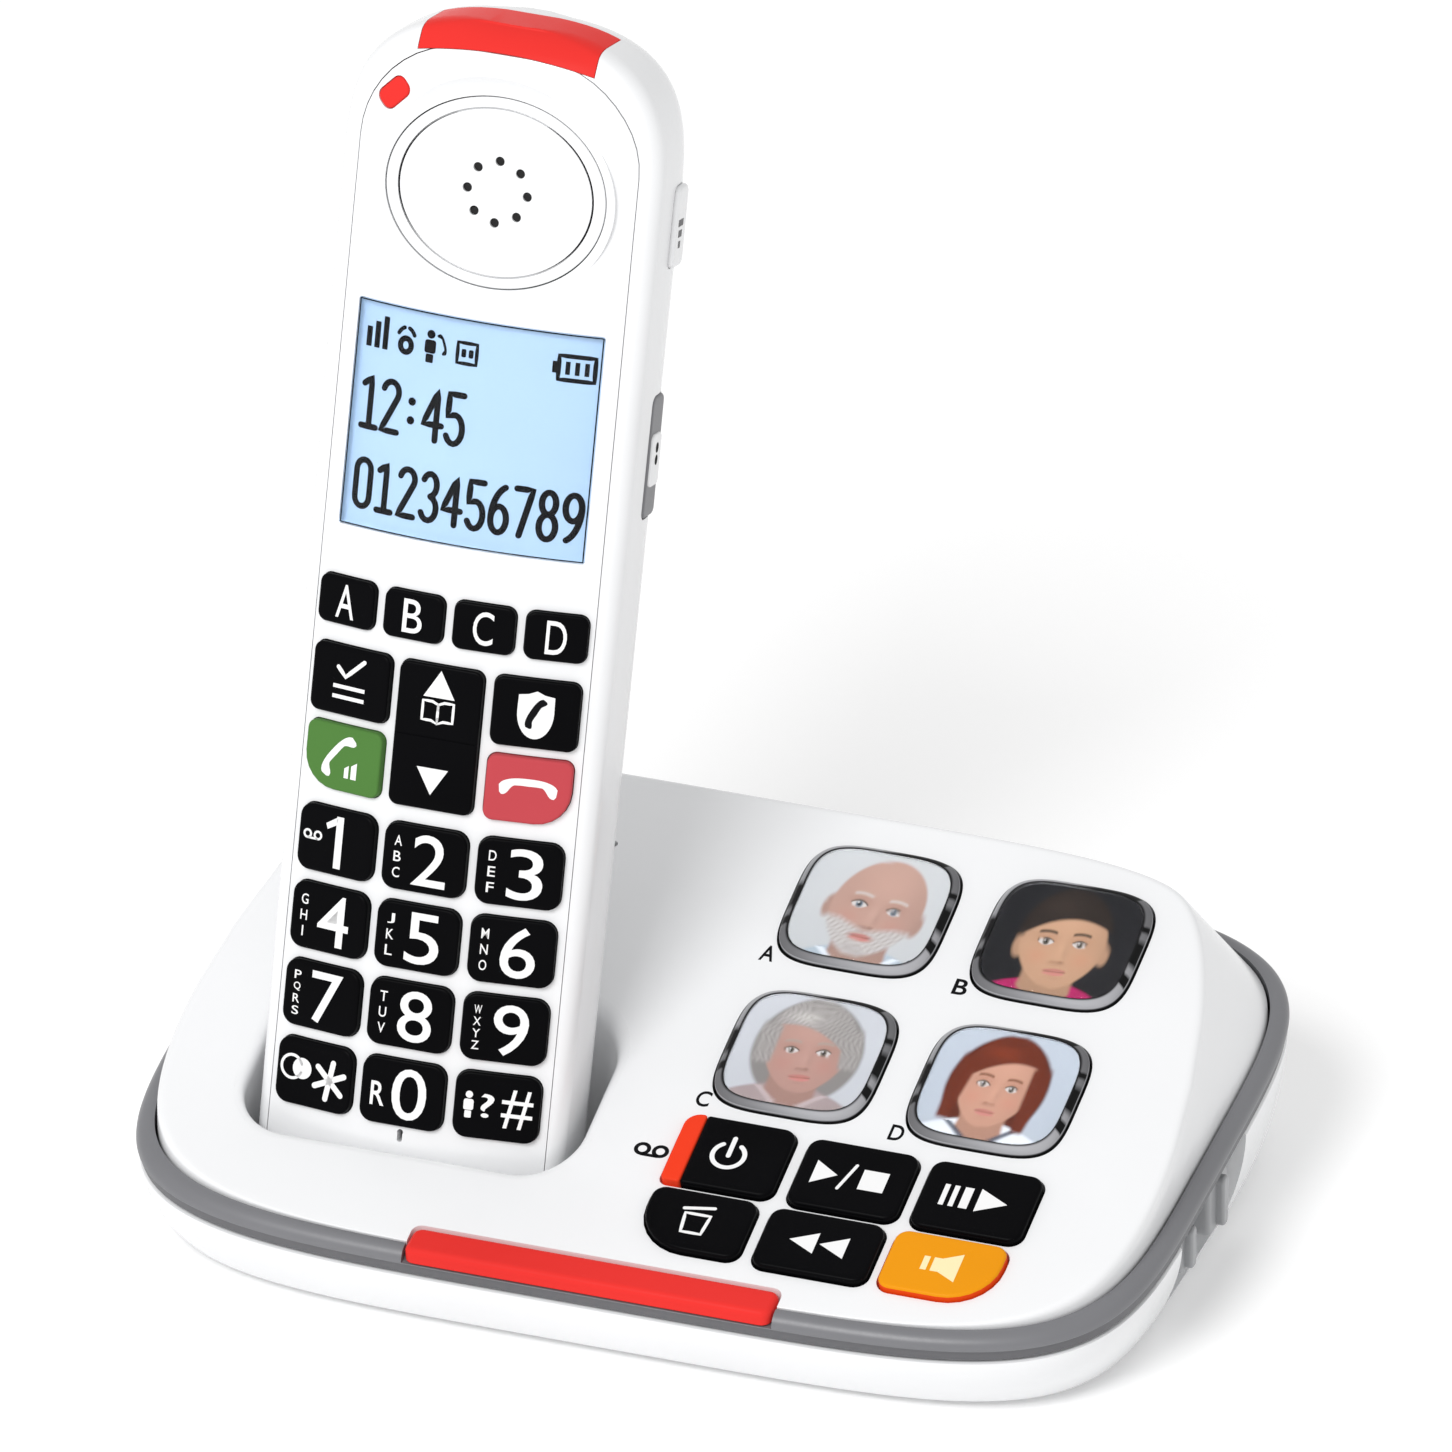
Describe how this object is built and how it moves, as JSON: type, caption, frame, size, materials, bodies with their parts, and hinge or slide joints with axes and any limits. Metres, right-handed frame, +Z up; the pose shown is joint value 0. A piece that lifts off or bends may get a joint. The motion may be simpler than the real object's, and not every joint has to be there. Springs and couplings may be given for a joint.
{
  "type": "cordless phone with base",
  "caption": "Cordless telephone handset standing in a sloped charging base with answering machine keys and picture dial keys.",
  "frame": {"origin": "centre of the footprint on the surface the base stands on", "axes": "+Z up, +Y from the front edge to the back, +X to the right as the user sees it"},
  "size_m": [0.154, 0.1099, 0.1755],
  "materials": {
    "white_shell": "gloss white moulded ABS",
    "grey_trim": "satin grey moulded plastic",
    "red_lens": "translucent red acrylic",
    "black_key": "satin black key with white legends",
    "green_key": "satin green key",
    "red_key": "satin red key",
    "amber_key": "backlit amber key",
    "clear_cap": "clear acrylic",
    "display": "backlit pale blue liquid crystal display",
    "circuit_board": "green fibreglass board",
    "contact_metal": "nickel plated spring steel",
    "foot_rubber": "matte rubber",
    "dark_plastic": "matte dark plastic",
    "battery_sleeve": "printed shrink sleeve"
  },
  "bodies": {
    "base": {"base_top_cover": "white_shell", "belt_trim": "grey_trim", "base_bottom_cover": "white_shell", "front_light_bar": "red_lens", "foot_strip_front": "foot_rubber", "foot_strip_rear": "foot_rubber", "line_socket": "dark_plastic", "power_socket": "dark_plastic", "base_speaker": "dark_plastic", "base_board": "circuit_board", "contact_carrier": "contact_metal"},
    "handset": {"handset_front_shell": "white_shell", "handset_rear_shell": "white_shell", "display_lens": "clear_cap", "display_module": "display", "ringer_light_lens": "red_lens", "message_light_lens": "red_lens", "earpiece_cover": "white_shell", "earpiece_speaker": "dark_plastic", "handset_board": "circuit_board", "handset_contact_left": "contact_metal", "handset_contact_right": "contact_metal", "battery_1": "battery_sleeve", "battery_2": "battery_sleeve"},
    "battery_door": {"battery_door": "white_shell"},
    "key_1": {"key_1": "black_key"},
    "key_2": {"key_2": "black_key"},
    "key_3": {"key_3": "black_key"},
    "key_4": {"key_4": "black_key"},
    "key_5": {"key_5": "black_key"},
    "key_6": {"key_6": "black_key"},
    "key_7": {"key_7": "black_key"},
    "key_8": {"key_8": "black_key"},
    "key_9": {"key_9": "black_key"},
    "key_star": {"key_star": "black_key"},
    "key_0": {"key_0": "black_key"},
    "key_hash": {"key_hash": "black_key"},
    "key_a": {"key_a": "black_key"},
    "key_b": {"key_b": "black_key"},
    "key_c": {"key_c": "black_key"},
    "key_d": {"key_d": "black_key"},
    "key_menu": {"key_menu": "black_key"},
    "key_block": {"key_block": "black_key"},
    "key_talk": {"key_talk": "green_key"},
    "key_end": {"key_end": "red_key"},
    "key_updown": {"key_updown": "black_key"},
    "boost_button": {"boost_button": "white_shell"},
    "volume_rocker": {"volume_rocker": "grey_trim"},
    "key_machine_power": {"key_machine_power": "black_key"},
    "key_play_stop": {"key_play_stop": "black_key"},
    "key_skip_forward": {"key_skip_forward": "black_key"},
    "key_delete": {"key_delete": "black_key"},
    "key_rewind": {"key_rewind": "black_key"},
    "key_speaker": {"key_speaker": "amber_key"},
    "photo_key_a": {"photo_key_a": "clear_cap"},
    "photo_key_b": {"photo_key_b": "clear_cap"},
    "photo_key_c": {"photo_key_c": "clear_cap"},
    "photo_key_d": {"photo_key_d": "clear_cap"},
    "ringer_volume_slider": {"ringer_volume_slider": "grey_trim"},
    "ringer_tone_slider": {"ringer_tone_slider": "grey_trim"}
  },
  "joints": [
    {"name": "handset_lift", "type": "slide", "parent": "base", "child": "handset", "axis": [0, 0.2807, 0.9598], "range_m": [0, 0.075]},
    {"name": "battery_door_off", "type": "slide", "parent": "handset", "child": "battery_door", "axis": [0, 0.9598, -0.2807], "range_m": [0, 0.01]},
    {"name": "key_1_press", "type": "slide", "parent": "handset", "child": "key_1", "axis": [0, 0.9598, -0.2807], "range_m": [0, 0.0006], "stiffness_N_per_m": 300},
    {"name": "key_2_press", "type": "slide", "parent": "handset", "child": "key_2", "axis": [0, 0.9598, -0.2807], "range_m": [0, 0.0006], "stiffness_N_per_m": 300},
    {"name": "key_3_press", "type": "slide", "parent": "handset", "child": "key_3", "axis": [0, 0.9598, -0.2807], "range_m": [0, 0.0006], "stiffness_N_per_m": 300},
    {"name": "key_4_press", "type": "slide", "parent": "handset", "child": "key_4", "axis": [0, 0.9598, -0.2807], "range_m": [0, 0.0006], "stiffness_N_per_m": 300},
    {"name": "key_5_press", "type": "slide", "parent": "handset", "child": "key_5", "axis": [0, 0.9598, -0.2807], "range_m": [0, 0.0006], "stiffness_N_per_m": 300},
    {"name": "key_6_press", "type": "slide", "parent": "handset", "child": "key_6", "axis": [0, 0.9598, -0.2807], "range_m": [0, 0.0006], "stiffness_N_per_m": 300},
    {"name": "key_7_press", "type": "slide", "parent": "handset", "child": "key_7", "axis": [0, 0.9598, -0.2807], "range_m": [0, 0.0006], "stiffness_N_per_m": 300},
    {"name": "key_8_press", "type": "slide", "parent": "handset", "child": "key_8", "axis": [0, 0.9598, -0.2807], "range_m": [0, 0.0006], "stiffness_N_per_m": 300},
    {"name": "key_9_press", "type": "slide", "parent": "handset", "child": "key_9", "axis": [0, 0.9598, -0.2807], "range_m": [0, 0.0006], "stiffness_N_per_m": 300},
    {"name": "key_star_press", "type": "slide", "parent": "handset", "child": "key_star", "axis": [0, 0.9598, -0.2807], "range_m": [0, 0.0006], "stiffness_N_per_m": 300},
    {"name": "key_0_press", "type": "slide", "parent": "handset", "child": "key_0", "axis": [0, 0.9598, -0.2807], "range_m": [0, 0.0006], "stiffness_N_per_m": 300},
    {"name": "key_hash_press", "type": "slide", "parent": "handset", "child": "key_hash", "axis": [0, 0.9598, -0.2807], "range_m": [0, 0.0006], "stiffness_N_per_m": 300},
    {"name": "key_a_press", "type": "slide", "parent": "handset", "child": "key_a", "axis": [0, 0.9598, -0.2807], "range_m": [0, 0.0006], "stiffness_N_per_m": 300},
    {"name": "key_b_press", "type": "slide", "parent": "handset", "child": "key_b", "axis": [0, 0.9598, -0.2807], "range_m": [0, 0.0006], "stiffness_N_per_m": 300},
    {"name": "key_c_press", "type": "slide", "parent": "handset", "child": "key_c", "axis": [0, 0.9598, -0.2807], "range_m": [0, 0.0006], "stiffness_N_per_m": 300},
    {"name": "key_d_press", "type": "slide", "parent": "handset", "child": "key_d", "axis": [0, 0.9598, -0.2807], "range_m": [0, 0.0006], "stiffness_N_per_m": 300},
    {"name": "key_menu_press", "type": "slide", "parent": "handset", "child": "key_menu", "axis": [0, 0.9598, -0.2807], "range_m": [0, 0.0006], "stiffness_N_per_m": 300},
    {"name": "key_block_press", "type": "slide", "parent": "handset", "child": "key_block", "axis": [0, 0.9598, -0.2807], "range_m": [0, 0.0006], "stiffness_N_per_m": 300},
    {"name": "key_talk_press", "type": "slide", "parent": "handset", "child": "key_talk", "axis": [0, 0.9598, -0.2807], "range_m": [0, 0.0006], "stiffness_N_per_m": 300},
    {"name": "key_end_press", "type": "slide", "parent": "handset", "child": "key_end", "axis": [0, 0.9598, -0.2807], "range_m": [0, 0.0006], "stiffness_N_per_m": 300},
    {"name": "key_updown_rock", "type": "hinge", "parent": "handset", "child": "key_updown", "pos_m": [-0.0352, -0.01506, 0.07631], "axis": [1, 0, 0], "range_deg": [-2, 2], "stiffness_Nm_per_rad": 0.05},
    {"name": "boost_button_press", "type": "slide", "parent": "handset", "child": "boost_button", "axis": [-1, 0, 0], "range_m": [0, 0.0006], "stiffness_N_per_m": 300},
    {"name": "volume_rocker_rock", "type": "hinge", "parent": "handset", "child": "volume_rocker", "pos_m": [-0.01391, 0.00685, 0.11418], "axis": [0, -0.9598, 0.2807], "range_deg": [-2, 2], "stiffness_Nm_per_rad": 0.05},
    {"name": "key_machine_power_press", "type": "slide", "parent": "base", "child": "key_machine_power", "axis": [0, 0.3002, -0.9539], "range_m": [0, 0.0006], "stiffness_N_per_m": 300},
    {"name": "key_play_stop_press", "type": "slide", "parent": "base", "child": "key_play_stop", "axis": [0, 0.3002, -0.9539], "range_m": [0, 0.0006], "stiffness_N_per_m": 300},
    {"name": "key_skip_forward_press", "type": "slide", "parent": "base", "child": "key_skip_forward", "axis": [0, 0.3002, -0.9539], "range_m": [0, 0.0006], "stiffness_N_per_m": 300},
    {"name": "key_delete_press", "type": "slide", "parent": "base", "child": "key_delete", "axis": [0, 0.3002, -0.9539], "range_m": [0, 0.0006], "stiffness_N_per_m": 300},
    {"name": "key_rewind_press", "type": "slide", "parent": "base", "child": "key_rewind", "axis": [0, 0.3002, -0.9539], "range_m": [0, 0.0006], "stiffness_N_per_m": 300},
    {"name": "key_speaker_press", "type": "slide", "parent": "base", "child": "key_speaker", "axis": [0, 0.3002, -0.9539], "range_m": [0, 0.0006], "stiffness_N_per_m": 300},
    {"name": "photo_key_a_press", "type": "slide", "parent": "base", "child": "photo_key_a", "axis": [0, 0.3002, -0.9539], "range_m": [0, 0.0008], "stiffness_N_per_m": 300},
    {"name": "photo_key_b_press", "type": "slide", "parent": "base", "child": "photo_key_b", "axis": [0, 0.3002, -0.9539], "range_m": [0, 0.0008], "stiffness_N_per_m": 300},
    {"name": "photo_key_c_press", "type": "slide", "parent": "base", "child": "photo_key_c", "axis": [0, 0.3002, -0.9539], "range_m": [0, 0.0008], "stiffness_N_per_m": 300},
    {"name": "photo_key_d_press", "type": "slide", "parent": "base", "child": "photo_key_d", "axis": [0, 0.3002, -0.9539], "range_m": [0, 0.0008], "stiffness_N_per_m": 300},
    {"name": "ringer_volume_slide", "type": "slide", "parent": "base", "child": "ringer_volume_slider", "axis": [0, 1, 0], "range_m": [-0.003, 0.003]},
    {"name": "ringer_tone_slide", "type": "slide", "parent": "base", "child": "ringer_tone_slider", "axis": [0, 1, 0], "range_m": [-0.003, 0.003]}
  ]
}
